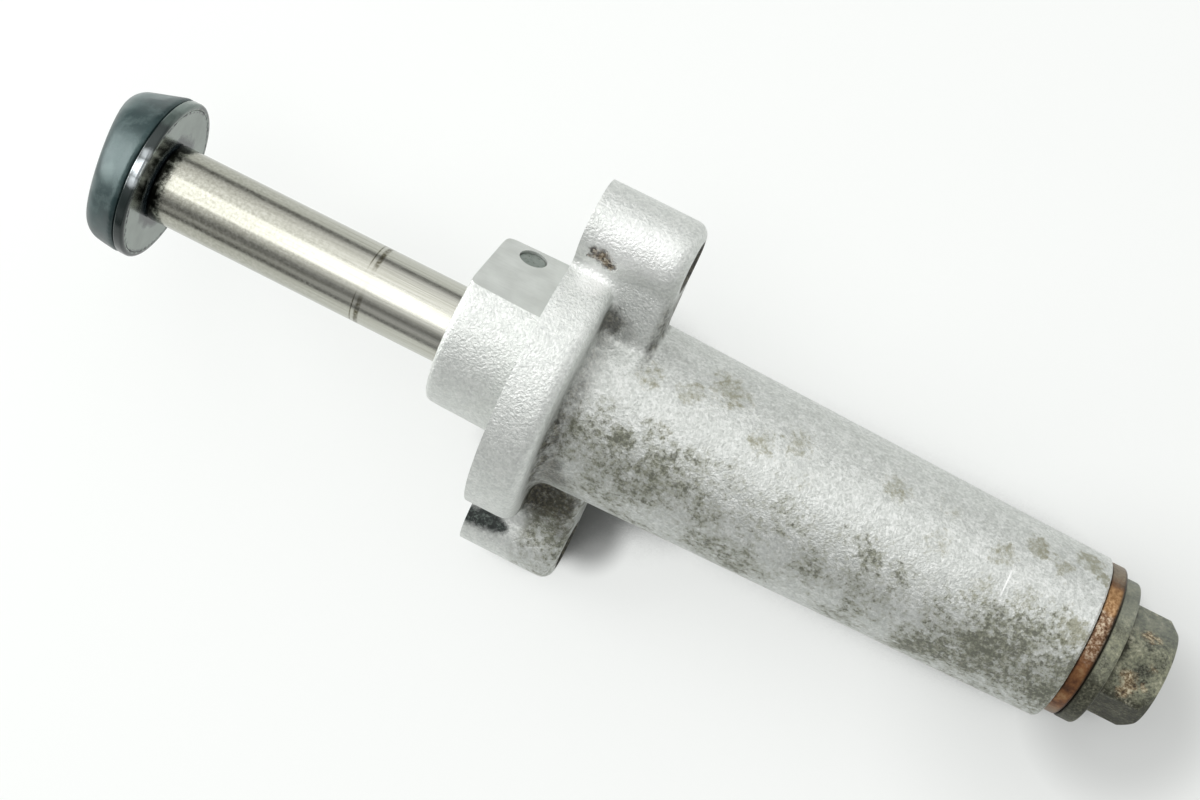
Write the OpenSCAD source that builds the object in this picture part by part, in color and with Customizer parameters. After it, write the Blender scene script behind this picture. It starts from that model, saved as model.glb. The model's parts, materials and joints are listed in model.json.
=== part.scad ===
// Timing chain tensioner: a spring pushes the padded rod against the chain's blade, and balls wedged
// in a taper keep the rod from being pushed back.
// Frame: +X along the rod towards the cap bolt, +Z towards the upper ear, origin on the rod's axis in
// the flange's mounting face. The rod is drawn fully out.

/* [Push rod] */
// Diameter of the polished front of the rod
rod_d = 11.5; // [10.5:0.1:12.2]
// How far the backing plate stands out from the mounting face
rod_reach = 58.3; // [52:0.1:66]
// How far the rod's thick front reaches behind the mounting face
rod_front_l = 10; // [6:0.5:13]
// Diameter of the locking shank behind it
shank_d = 9; // [8.4:0.1:9.4]
// Length of the locking shank
shank_l = 42; // [40:0.5:45]
// Travel of the rod from fully out to fully in
stroke = 28; // [20:0.5:28]
// Diameter of the spring's hole in the rod
spring_hole_d = 6; // [5.6:0.1:6.4]
// Diameter of the rod's riveted nose
nose_d = 6; // [4:0.5:8]
// Diameter of the nose's riveted head
nose_head_d = 8.4; // [8.2:0.1:10]
// Thickness of the riveted head
nose_head_t = 1; // [0.6:0.1:1.6]

/* [Pad] */
// Diameter of the backing plate
plate_d = 23.8; // [20:0.1:26]
// Thickness of the backing plate
plate_t = 1.6; // [1.2:0.1:2.2]
// Diameter of the rubber pad at the plate
pad_d = 23.9; // [20:0.1:26]
// Diameter of the rubber pad's front cushion
pad_front_d = 22.3; // [18:0.1:24]
// Thickness of the rubber on the rod's axis
pad_t = 8.2; // [6.5:0.1:11]
// Slant of the pad's face about the line of the ears
pad_slant = 14; // [8:0.5:16]
// Radius of the cushion's edge
pad_edge_r = 3.7; // [2.5:0.1:4.5]
// Rise of the cushion's domed face
pad_dome = 0.5; // [0.2:0.1:1.2]
// How far the cushion sits towards the thin side
pad_shift = 0.6; // [0:0.1:1]
// How far the cushion hangs towards the lower ear
pad_drop = 0.9; // [0:0.1:1.2]

/* [Spigot and guide pin] */
// Diameter of the spigot at its front
spigot_d = 25.3; // [24.6:0.1:26]
// Length of the spigot
spigot_l = 11.4; // [10:0.1:14]
// Radius of the spigot's front edge
spigot_edge_r = 0.8; // [0.3:0.1:1.2]
// Growth of the spigot's diameter down to the flange
spigot_draft = 0.6; // [0:0.1:1]
// Distance of the spigot's centre above the rod's axis
spigot_rise = 2.3; // [1.8:0.1:2.6]
// Height of the milled flat above the rod's axis
flat_h = 12.45; // [11.6:0.05:13]
// Diameter of the guide pin
pin_d = 4; // [3:0.1:4.4]
// Distance of the pin in front of the mounting face
pin_x = 6.5; // [5:0.1:7.5]
// Distance of the pin's axis beside the rod's axis
pin_y = 5.05; // [5:0.05:5.4]
// Length of the guide pin
pin_l = 19; // [15:0.5:20]

/* [Flange and ears] */
// Diameter of the round flange
flange_d = 41.6; // [38:0.1:46]
// Thickness of the round flange
flange_t = 7; // [5:0.1:9]
// Radius of the flange's rear edge
flange_edge_r = 1.6; // [0.8:0.1:2.4]
// Distance between the bolt holes
bolt_pitch = 50; // [47:0.5:56]
// Diameter of a bolt hole
bolt_hole_d = 6.6; // [5.5:0.1:7]
// Diameter of an ear's round end
ear_d = 11.9; // [10.8:0.1:13]
// Width of the web between an ear's round end and the barrel
ear_web_w = 10.2; // [9:0.1:10.5]
// Length of an ear along the bolt
ear_l = 14.4; // [11:0.1:18]
// Radius of an ear's rear edge
ear_edge_r = 1.8; // [1:0.1:2.4]

/* [Barrel] */
// Length of the barrel behind the mounting face
barrel_l = 82.2; // [80:0.1:88]
// Diameter of the barrel at its rear end
barrel_d = 23.8; // [23:0.1:25]
// Draft of the barrel's wall in degrees
barrel_draft = 1.4; // [0.8:0.1:1.8]
// Radius of the fillet between flange and barrel
root_r = 2; // [1:0.1:3]
// Radius of the barrel's rear edge
barrel_edge_r = 0.8; // [0.3:0.1:1.2]
// Diameter of the spring chamber
chamber_d = 15.6; // [15.2:0.1:15.8]
// Where the guide bore ends and the chamber starts, behind the mounting face
guide_l = 14; // [13:0.5:17]

/* [Ball lock] */
// Outer diameter of the taper race
race_d = 16.2; // [16:0.05:16.4]
// Length of the taper race
race_l = 11.6; // [10.5:0.1:12.5]
// Slope of the race's taper in degrees
race_slope = 7; // [5:0.5:8]
// Diameter of a lock ball
ball_d = 2; // [1.8:0.05:2.1]
// Distance of the balls behind the race's front
ball_x = 4.4; // [4:0.1:5]
// Wall of the ball cage
cage_wall = 1.35; // [1.1:0.05:1.4]
// Length of the ball cage
cage_l = 9.1; // [8.5:0.1:9.6]
// Diameter of the cage's rim
cage_rim_d = 14.8; // [14:0.1:15]
// Thickness of the cage's rim
cage_rim_t = 1.2; // [0.8:0.1:1.4]
// How far the cage can be pushed off the taper
cage_travel = 1.5; // [0.5:0.1:1.5]
// Thickness of the retaining ring
ring_t = 1.2; // [0.8:0.1:1.6]
// Depth of the ring's groove in the barrel
ring_groove = 0.7; // [0.4:0.1:0.9]
// Opening of the retaining ring in degrees
ring_gap = 50; // [30:5:80]

/* [Springs] */
// Wire of the cage spring
cage_wire = 1.1; // [0.8:0.1:1.3]
// Coils of the cage spring
cage_coils = 8; // [5:1:10]
// Wire of the main spring
main_wire = 0.9; // [0.7:0.1:1]
// Coils of the main spring
main_coils = 34; // [24:1:40]
// Diameter of the spring guide's stem
guide_stem_d = 3.4; // [2.6:0.1:3.6]
// Length of the spring guide's stem
guide_stem_l = 52; // [40:1:54]
// Diameter of the spring guide's head
guide_head_d = 8.6; // [7.6:0.1:9]
// Thickness of the spring guide's head
guide_head_t = 1.5; // [1:0.1:2]

/* [Cap bolt and washer] */
// Outer diameter of the bolt's thread
thread_d = 18; // [17.4:0.1:18.4]
// Length of thread in the barrel
thread_l = 12.2; // [9:0.1:14]
// Diameter of the hollow in the bolt
cup_d = 10; // [9.8:0.1:12]
// Depth of the hollow from the bolt's inner end
cup_l = 15.5; // [15:0.1:16.5]
// Outer diameter of the copper washer
washer_d = 22; // [21:0.1:23.4]
// Inner diameter of the copper washer
washer_hole_d = 19.2; // [18.8:0.1:19.4]
// Thickness of the copper washer
washer_t = 2.4; // [1:0.1:3]
// Diameter of the bolt's collar
collar_d = 21; // [20:0.1:23]
// Thickness of the bolt's collar
collar_t = 2.5; // [1.5:0.1:4]
// Size of the hexagon across its flats
hex_af = 13.9; // [12:0.1:15]
// Height of the hexagon
hex_l = 7.3; // [5:0.1:9]
// Turn of the hexagon
hex_turn = 33; // [0:1:60]
// Height of the chamfer at the hexagon's corners
hex_chamfer = 1.5; // [0.8:0.1:2]
// Chamfer of the collar's rear edge
collar_chamfer = 0.45; // [0.2:0.05:0.9]

/* [Fits] */
// Radial clearance of a sliding fit
slide_fit = 0.05; // [0.02:0.01:0.08]
// Radial clearance of a press fit
press_fit = 0.01; // [0.005:0.005:0.02]
// Clearance between touching pieces that move
run_gap = 0.05; // [0.03:0.01:0.1]

/* [Hidden] */
$fn = 96;

balls = 8;
eps = 0.01;
rod_r = rod_d / 2;
shank_r = shank_d / 2;
guide_bore_r = rod_r + slide_fit;

// The flat on the rod's side that the guide pin keys into
key_y = pin_y - pin_d / 2 - run_gap;
key_stop_x = -pin_x + pin_d / 2 + run_gap;
key_l = stroke + pin_d + 2 * run_gap + 1;

// Positions along the axis, from the mounting face
shank_end = rod_front_l + shank_l;
spring_hole_end = key_stop_x + 2.4;
race_x = rod_front_l + stroke + cage_travel + cage_rim_t + 1.7;
cage_x = race_x - cage_rim_t - 0.8;
ball_at = race_x + ball_x;
ring_x = race_x + race_l;
thread_x = barrel_l - thread_l;
seat_x = barrel_l + washer_t;
cup_end = thread_x + cup_l;

// The washer is loose on the thread and has slid to one side
washer_off = (washer_hole_d - thread_d) / 2 - run_gap;

// Balls touch the shank inside and the taper outside, each with the running clearance
ball_r = ball_d / 2;
ball_ring_r = shank_r + ball_r + run_gap / 2;
race_bore_at_ball = ball_ring_r + (ball_r + run_gap / 2) / cos(race_slope);
race_bore_front = race_bore_at_ball + ball_x * tan(race_slope);
race_bore_rear = race_bore_front - race_l * tan(race_slope);

barrel_front_d = barrel_d + 2 * barrel_l * tan(barrel_draft);
hex_r = hex_af / 2 / cos(30);
cage_bore_r = shank_r + 3 * slide_fit;

// Turns a profile of [radius, x] points about the rod's axis
module turned(points) {
    rotate([0, 90, 0]) rotate_extrude() polygon(points);
}

// Plain round bar on the rod's axis from one x to another
module bar(d, from, to) {
    translate([from, 0, 0]) rotate([0, 90, 0]) cylinder(d = d, h = to - from);
}

// Points of a quarter round of radius r about [cr, cx], from angle a to angle b
function arc(cr, cx, r, a, b, n = 6) =
    [for (i = [0 : n]) let (t = a + (b - a) * i / n) [cr + r * cos(t), cx + r * sin(t)]];

// Outer form of the flange and the drafted barrel in one turning
module barrel_form() {
    root_x = flange_t + root_r;
    wall = function (x) (barrel_front_d - (barrel_front_d - barrel_d) * x / barrel_l) / 2;
    turned(concat(
        [[0, 0], [flange_d / 2, 0]],
        arc(flange_d / 2 - flange_edge_r, flange_t - flange_edge_r, flange_edge_r, 0, 90),
        arc(wall(root_x) + root_r, root_x, root_r, 270, 180),
        arc(wall(barrel_l) - barrel_edge_r, barrel_l - barrel_edge_r, barrel_edge_r, 0, 90),
        [[0, barrel_l]]
    ));
}

// One bolt ear: a round boss and a web down to the barrel, with rounded rear edges
module ear() {
    r = ear_d / 2;
    e = ear_edge_r;
    w = ear_web_w / 2;
    translate([0, 0, bolt_pitch / 2]) rotate([0, 90, 0]) rotate_extrude()
        polygon(concat([[0, 0], [r, 0]], arc(r - e, ear_l - e, e, 0, 90), [[0, ear_l]]));
    linear_extrude(height = bolt_pitch / 2) union() {
        translate([0, -w]) square([ear_l - e, 2 * w]);
        translate([0, -w + e]) square([ear_l, 2 * (w - e)]);
        for (side = [-1, 1]) translate([ear_l - e, side * (w - e)]) circle(r = e);
    }
}

// Off-centre spigot with its milled flat
module spigot() {
    difference() {
        translate([0, 0, spigot_rise]) turned(concat(
            [[0, -spigot_l]],
            arc(spigot_d / 2 - spigot_edge_r, -spigot_l + spigot_edge_r, spigot_edge_r, 270, 360),
            [[(spigot_d + spigot_draft) / 2, 1], [0, 1]]
        ));
        translate([-spigot_l - 1, -spigot_d, flat_h]) cube([spigot_l + 1, 2 * spigot_d, spigot_d]);
    }
}

// Cast and machined body
module tensioner_body() {
    color("#c4c7c3") difference() {
        union() {
            barrel_form();
            ear();
            mirror([0, 0, 1]) ear();
            spigot();
        }
        bar(2 * guide_bore_r, -spigot_l - 1, guide_l + 1);
        bar(chamber_d, guide_l, race_x + eps);
        bar(race_d + 2 * press_fit, race_x, barrel_l + 1);
        bar(race_d + 2 * ring_groove, ring_x, ring_x + ring_t + 2 * run_gap);
        bar(thread_d + 2 * press_fit, thread_x - 1, barrel_l + 1);
        for (side = [-1, 1]) translate([0, 0, side * bolt_pitch / 2]) bar(bolt_hole_d, -1, ear_l + 1);
        translate([-pin_x, pin_y, flat_h - pin_l - run_gap])
            cylinder(d = pin_d + 2 * press_fit, h = pin_l + spigot_d);
    }
}

// Push rod with its riveted nose, key flat and spring hole
module push_rod() {
    color("#b9b6ab") difference() {
        turned([
            [0, -rod_reach - plate_t - nose_head_t], [nose_head_d / 2, -rod_reach - plate_t - nose_head_t],
            [nose_head_d / 2, -rod_reach - plate_t], [nose_d / 2, -rod_reach - plate_t], [nose_d / 2, -rod_reach],
            [rod_r, -rod_reach], [rod_r, rod_front_l - 0.6], [rod_r - 0.6, rod_front_l], [shank_r, rod_front_l],
            [shank_r, shank_end - 0.5], [shank_r - 0.5, shank_end], [0, shank_end]
        ]);
        bar(spring_hole_d, spring_hole_end, shank_end + 1);
        translate([key_stop_x - key_l, key_y, -rod_d]) cube([key_l, rod_d, 2 * rod_d]);
    }
}

// Backing plate of the pad
module pad_plate() {
    r = plate_d / 2;
    e = plate_t / 4;
    color("#3a3f3d") turned(concat(
        [[nose_d / 2, -rod_reach - plate_t]],
        arc(r - e, -rod_reach - plate_t + e, e, 270, 360),
        arc(r - e, -rod_reach - e, e, 0, 90),
        [[nose_d / 2, -rod_reach]]
    ));
}

// Rubber pad: a round base on the plate runs out to a slanted, domed cushion
module rubber_pad() {
    base_x = -rod_reach - plate_t;
    rin = pad_front_d / 2 - pad_edge_r;
    dome = [for (i = [0 : 3]) [rin * i / 4, -pad_dome * (1 - (i / 4) * (i / 4))]];
    color("#2b302e") difference() {
        hull() {
            translate([base_x - 0.5, 0, 0]) rotate([0, 90, 0]) cylinder(d = pad_d, h = 0.5, $fn = 72);
            translate([base_x - pad_t + pad_dome, -pad_shift, -pad_drop]) rotate([0, 0, pad_slant])
                rotate([0, 90, 0]) rotate_extrude($fn = 72)
                    polygon(concat(dome, arc(rin, pad_edge_r, pad_edge_r, -90, 0), [[0, pad_edge_r]]));
        }
        translate([base_x - nose_head_t, 0, 0]) rotate([0, 90, 0]) cylinder(d = nose_head_d, h = nose_head_t + 1);
    }
}

// Dowel through the spigot's flat that keys the rod and stops it
module guide_pin() {
    e = pin_d / 16;
    r = pin_d / 2;
    color("#8d928f") translate([-pin_x, pin_y, flat_h - pin_l]) rotate_extrude()
        polygon([[0, 0], [r - e, 0], [r, e], [r, pin_l - e], [r - e, pin_l], [0, pin_l]]);
}

// Hardened sleeve whose bore narrows towards the cap bolt
module taper_race() {
    color("#9a9c9a") turned([
        [race_bore_front, race_x], [race_d / 2, race_x], [race_d / 2, ring_x], [race_bore_rear, ring_x]
    ]);
}

// Open retaining ring behind the race
module race_ring() {
    out = race_d / 2 + ring_groove - run_gap;
    color("#6f7371") translate([ring_x + run_gap / 2, 0, 0]) rotate([0, 90, 0]) rotate([0, 0, ring_gap / 2])
        rotate_extrude(angle = 360 - ring_gap) translate([out - 1.9, 0]) square([1.9, ring_t]);
}

// Cage that spaces the balls
module ball_cage() {
    tube_r = cage_bore_r + cage_wall;
    color("#b08d4a") difference() {
        turned([
            [cage_bore_r, cage_x], [cage_rim_d / 2, cage_x], [cage_rim_d / 2, cage_x + cage_rim_t],
            [tube_r, cage_x + cage_rim_t], [tube_r, cage_x + cage_l], [cage_bore_r, cage_x + cage_l]
        ]);
        for (i = [0 : balls - 1]) translate([ball_at, 0, 0]) rotate([i * 360 / balls, 0, 0])
            translate([0, 0, cage_bore_r - 0.6]) cylinder(d = ball_d + 2 * slide_fit, h = cage_wall + 1.2, $fn = 48);
    }
}

// One lock ball in its pocket
module lock_ball(turn) {
    color("#d0d2d2") translate([ball_at, 0, 0]) rotate([turn, 0, 0])
        translate([0, 0, ball_ring_r]) sphere(d = ball_d, $fn = 48);
}

// Round wire wound about the rod's axis between two x positions
module coil(wire, ring_r, from, to, turns, sides = 6, steps = 14) {
    n = turns * steps;
    pitch = (to - from - wire) / turns;
    points = [for (i = [0 : n], j = [0 : sides - 1])
        let (a = 360 * i / steps, b = 360 * j / sides, r = ring_r + wire / 2 * cos(b))
        [from + wire / 2 + pitch * i / steps + wire / 2 * sin(b), r * cos(a), r * sin(a)]];
    wall = [for (i = [0 : n - 1], j = [0 : sides - 1])
        let (k = (j + 1) % sides, p = i * sides, q = p + sides)
        each [[p + j, q + k, q + j], [p + j, p + k, q + k]]];
    front = [for (j = [sides - 1 : -1 : 0]) j];
    rear = [for (j = [0 : sides - 1]) n * sides + j];
    polyhedron(points, concat(wall, [front, rear]));
}

// Spring that holds the cage on the taper
module cage_spring() {
    ring_r = chamber_d / 2 - cage_wire / 2 - 0.3;
    color("#777b7a") coil(cage_wire, ring_r, guide_l + run_gap, cage_x - run_gap, cage_coils);
}

// Spring that pushes the rod out
module main_spring() {
    color("#7f8382") coil(main_wire, spring_hole_d / 2 - main_wire / 2 - 0.15, spring_hole_end + run_gap,
        cup_end - guide_head_t - run_gap, main_coils, 6, 10);
}

// Stem that keeps the main spring straight, headed in the bolt's hollow
module spring_guide() {
    r = guide_stem_d / 2;
    head_x = cup_end - guide_head_t;
    color("#8a8f8c") turned([
        [0, head_x - guide_stem_l], [r - 0.4, head_x - guide_stem_l], [r, head_x - guide_stem_l + 0.6], [r, head_x],
        [guide_head_d / 2, head_x], [guide_head_d / 2, cup_end], [0, cup_end]
    ]);
}

// Copper washer, loose on the thread and so a little off centre
module sealing_washer() {
    e = washer_t / 6;
    r = washer_d / 2;
    color("#a8693f") translate([0, washer_off * sin(33), washer_off * cos(33)]) turned(concat(
        [[washer_hole_d / 2, barrel_l], [r - e, barrel_l]],
        arc(r - e, barrel_l + e, e, 270, 360),
        arc(r - e, seat_x - e, e, 0, 90),
        [[washer_hole_d / 2, seat_x]]
    ));
}

// Collared hexagon bolt that closes the barrel
module cap_bolt() {
    hex_x = seat_x + collar_t;
    end_x = hex_x + hex_l;
    end_r = hex_af / 2 - 0.1;
    slope = hex_chamfer / (hex_r - end_r);
    r = collar_d / 2;
    color("#7c7d70") difference() {
        union() {
            turned([
                [0, thread_x], [thread_d / 2 - 1, thread_x], [thread_d / 2, thread_x + 1], [thread_d / 2, seat_x],
                [r, seat_x], [r, hex_x - collar_chamfer], [r - collar_chamfer, hex_x], [0, hex_x]
            ]);
            intersection() {
                translate([hex_x - 0.5, 0, 0]) rotate([hex_turn, 0, 0]) rotate([0, 90, 0])
                    cylinder(r = hex_r, h = hex_l + 0.5, $fn = 6);
                turned([
                    [0, hex_x - 1], [hex_r + 1, hex_x - 1], [hex_r + 1, end_x - hex_chamfer - slope],
                    [end_r, end_x], [0, end_x]
                ]);
            }
        }
        bar(cup_d, thread_x - 1, cup_end);
    }
}

tensioner_body();
push_rod();
pad_plate();
rubber_pad();
guide_pin();
taper_race();
race_ring();
ball_cage();
lock_ball(0);  // lock_ball_1
lock_ball(360 / balls);  // lock_ball_2
lock_ball(2 * 360 / balls);  // lock_ball_3
lock_ball(3 * 360 / balls);  // lock_ball_4
lock_ball(4 * 360 / balls);  // lock_ball_5
lock_ball(5 * 360 / balls);  // lock_ball_6
lock_ball(6 * 360 / balls);  // lock_ball_7
lock_ball(7 * 360 / balls);  // lock_ball_8
cage_spring();
main_spring();
spring_guide();
sealing_washer();
cap_bolt();
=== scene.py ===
"""Looks of the timing chain tensioner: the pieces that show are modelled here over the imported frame."""
import json
import math

import bpy
from mathutils import Matrix, Vector


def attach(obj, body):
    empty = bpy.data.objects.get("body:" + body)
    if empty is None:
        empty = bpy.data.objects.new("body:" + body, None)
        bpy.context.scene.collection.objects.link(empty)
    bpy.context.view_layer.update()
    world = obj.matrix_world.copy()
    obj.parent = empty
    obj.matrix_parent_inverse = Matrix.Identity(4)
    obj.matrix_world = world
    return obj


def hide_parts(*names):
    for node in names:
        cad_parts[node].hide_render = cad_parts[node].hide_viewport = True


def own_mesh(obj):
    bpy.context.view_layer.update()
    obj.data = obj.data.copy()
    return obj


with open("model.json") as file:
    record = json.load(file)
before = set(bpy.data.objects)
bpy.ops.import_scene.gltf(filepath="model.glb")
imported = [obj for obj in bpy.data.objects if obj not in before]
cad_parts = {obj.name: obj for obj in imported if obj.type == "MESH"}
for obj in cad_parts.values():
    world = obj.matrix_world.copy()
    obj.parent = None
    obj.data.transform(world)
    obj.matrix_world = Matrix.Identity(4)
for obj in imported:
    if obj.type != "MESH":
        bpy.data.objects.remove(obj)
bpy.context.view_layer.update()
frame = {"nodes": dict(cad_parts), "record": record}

MM = 0.001
QUARTER = math.pi / 2
# Across the rod: up the photograph, and towards the camera
RISING = (0.0, 0.546, 0.838)
FACING = (0.0, -0.838, 0.546)
# Places that several pieces share, in mm
EAR_Z = 25.0
SPIGOT_Z = 2.3
FLAT_Z = 12.45
PIN_AT = (-6.5, 5.05)
PLATE_FRONT = -59.9
PLATE_BACK = -58.3
BARREL_END = 82.2
COLLAR_X = 84.6
HEX_X = 87.1
BOLT_END = 94.4


def linear(code):
    """sRGB hex colour as linear RGBA."""
    parts = [int(code[i:i + 2], 16) / 255 for i in (1, 3, 5)]
    return (*[c / 12.92 if c <= 0.04045 else ((c + 0.055) / 1.055) ** 2.4 for c in parts], 1.0)


def add(tree, kind, inputs=None, out=0, stops=None, **settings):
    """One shader node with its settings; inputs are values or other nodes' outputs. Gives one output."""
    made = tree.nodes.new("ShaderNode" + kind)
    for name, value in settings.items():
        setattr(made, name, value)
    if stops:
        spots = made.color_ramp.elements
        while len(spots) < len(stops):
            spots.new(1.0)
        for spot, (place, value) in zip(spots, stops):
            spot.position = place
            spot.color = linear(value) if isinstance(value, str) else (value, value, value, 1.0)
    for socket, value in (inputs or {}).items():
        if isinstance(value, bpy.types.NodeSocket):
            tree.links.new(value, made.inputs[socket])
        else:
            made.inputs[socket].default_value = value
    return made.outputs[out]


# Camera at the photograph's place, in the frame's metres
across = Vector((0.890637, 0.302656, 0.339352))
upward = Vector((-0.448188, 0.458387, 0.767469))
backward = Vector((0.076725, -0.835631, 0.543904))
camera_data = bpy.data.cameras.new("photo_camera")
camera_data.sensor_fit = "HORIZONTAL"
camera_data.sensor_width = 36.0
camera_data.lens = 62.12
camera_data.clip_start = 0.01
camera = bpy.data.objects.new("photo_camera", camera_data)
bpy.context.scene.collection.objects.link(camera)
turn = Matrix((across, upward, backward)).transposed().to_4x4()
camera.matrix_world = Matrix.Translation((0.03228, -0.23967, 0.15593)) @ turn
bpy.context.scene.camera = camera
bpy.context.scene.view_settings.view_transform = "Standard"


def new_finish(name):
    """Empty material; gives it, its tree and the place on the piece in millimetres."""
    made = bpy.data.materials.new(name)
    made.use_nodes = True
    tree = made.node_tree
    tree.nodes.clear()
    spot = add(tree, "TexCoord", out="Object")
    place = add(tree, "VectorMath", {0: spot, "Scale": 1000.0}, operation="SCALE")
    return made, tree, place


def close_finish(tree, shader):
    """Joins the shader to the material's end."""
    end = tree.nodes.new("ShaderNodeOutputMaterial")
    tree.links.new(shader, end.inputs["Surface"])


def stain(tree, place, spots):
    """Mask of stains, each a middle and a radius in mm and a strength; ragged where the place is warped."""
    mask = None
    for x, y, z, radius, strength in spots:
        away = add(tree, "VectorMath", {0: place, 1: (x, y, z)}, out="Value", operation="DISTANCE")
        part = add(tree, "MapRange", {
            "Value": away, "From Min": radius * 1.35, "From Max": radius * 0.45, "To Max": strength},
            interpolation_type="SMOOTHSTEP")
        mask = part if mask is None else add(tree, "Math", {0: mask, 1: part}, operation="MAXIMUM")
    return mask


def warped(tree, place, size, reach):
    """The place moved about by noise of a size in mm, up to a reach in mm, for ragged edges."""
    noise = add(tree, "TexNoise", {
        "Vector": place, "Scale": 1 / size, "Detail": 4.0, "Roughness": 0.7}, out=1)
    swing = add(tree, "VectorMath", {0: noise, 1: (0.5, 0.5, 0.5)}, operation="SUBTRACT")
    swing = add(tree, "VectorMath", {0: swing, "Scale": reach}, operation="SCALE")
    return add(tree, "VectorMath", {0: place, 1: swing}, operation="ADD")


def axis_distance(tree, place):
    """Distance from the rod's axis in mm."""
    section = add(tree, "Mapping", {"Vector": place, "Scale": (0.0, 1.0, 1.0)})
    return add(tree, "VectorMath", {0: section}, out="Value", operation="LENGTH")


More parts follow.
